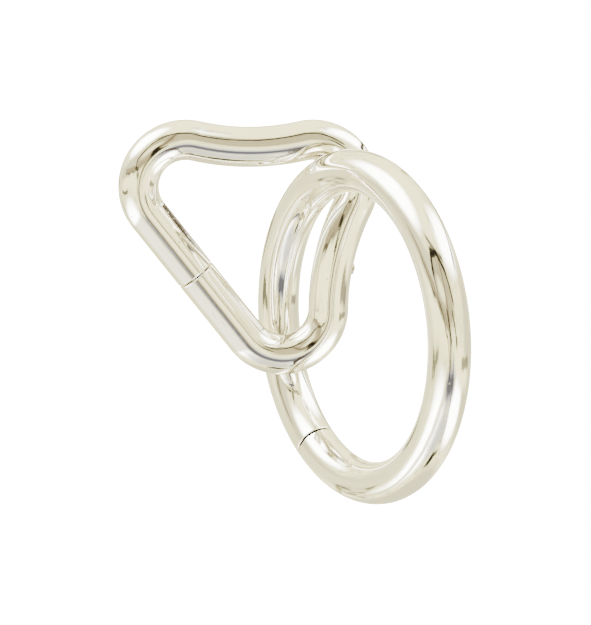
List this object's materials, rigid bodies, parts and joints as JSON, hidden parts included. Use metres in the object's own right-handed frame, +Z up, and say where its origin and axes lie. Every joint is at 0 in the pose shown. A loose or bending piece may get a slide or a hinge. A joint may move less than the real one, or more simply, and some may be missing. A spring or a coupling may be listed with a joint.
{
  "type": "linked ring pair",
  "caption": "Polished round bar ring linked through a rounded three-lobed bar loop, both opening on a hinged bar half.",
  "frame": {"origin": "underside of the three-lobed loop's top leg, where the pair hangs", "axes": "+Z up as it hangs, +X to the right along the three-lobed loop's plane, -Y toward the side that the loop shows; the ring stands upright and turned 66 degrees from that plane"},
  "size_m": [0.0447, 0.0461, 0.0531],
  "materials": {
    "polished_silver": "mirror polished",
    "inner_steel": "plain machined"
  },
  "bodies": {
    "loop_root": {"loop_body": "polished_silver", "loop_hinge_rivet": "polished_silver", "loop_catch_tongue": "inner_steel", "loop_tongue_rivet": "polished_silver"},
    "loop_gate_half": {"loop_gate": "polished_silver", "loop_hinge_spindle": "inner_steel", "loop_detent_spring": "inner_steel", "loop_spring_plug": "polished_silver"},
    "loop_ball": {"loop_detent_ball": "inner_steel"},
    "ring_half": {"ring_body": "polished_silver", "ring_hinge_rivet": "polished_silver", "ring_detent_spring": "inner_steel", "ring_spring_plug": "polished_silver"},
    "ring_gate_half": {"ring_gate": "polished_silver", "ring_hinge_spindle": "inner_steel", "ring_catch_tongue": "inner_steel", "ring_tongue_rivet": "polished_silver"},
    "ring_ball": {"ring_detent_ball": "inner_steel"}
  },
  "joints": [
    {"name": "ring_swing", "type": "hinge", "parent": "loop_root", "child": "ring_half", "pos_m": [0.00708, 0.002, -0.02113], "axis": [0, 0, -1], "range_deg": [0, 45]},
    {"name": "ring_gate_turn", "type": "hinge", "parent": "ring_half", "child": "ring_gate_half", "pos_m": [0.01861, -0.0229, -0.00208], "axis": [0.3522, -0.7912, -0.5], "range_deg": [0, 90]},
    {"name": "loop_gate_turn", "type": "hinge", "parent": "loop_root", "child": "loop_gate_half", "pos_m": [0.01162, 0, -0.01732], "axis": [0.1069, 0, 0.9943], "range_deg": [0, 90]},
    {"name": "loop_ball_slide", "type": "slide", "parent": "loop_gate_half", "child": "loop_ball", "axis": [-0.7667, 0.2419, -0.5947], "range_m": [0, 0.0002], "stiffness_N_per_m": 500, "springref_m": -0.0001, "deforming": ["loop_detent_spring"]},
    {"name": "ring_ball_slide", "type": "slide", "parent": "ring_half", "child": "ring_ball", "axis": [-0.2497, 0.5609, -0.7893], "range_m": [0, 0.0002], "stiffness_N_per_m": 500, "springref_m": -0.0001, "deforming": ["ring_detent_spring"]}
  ]
}
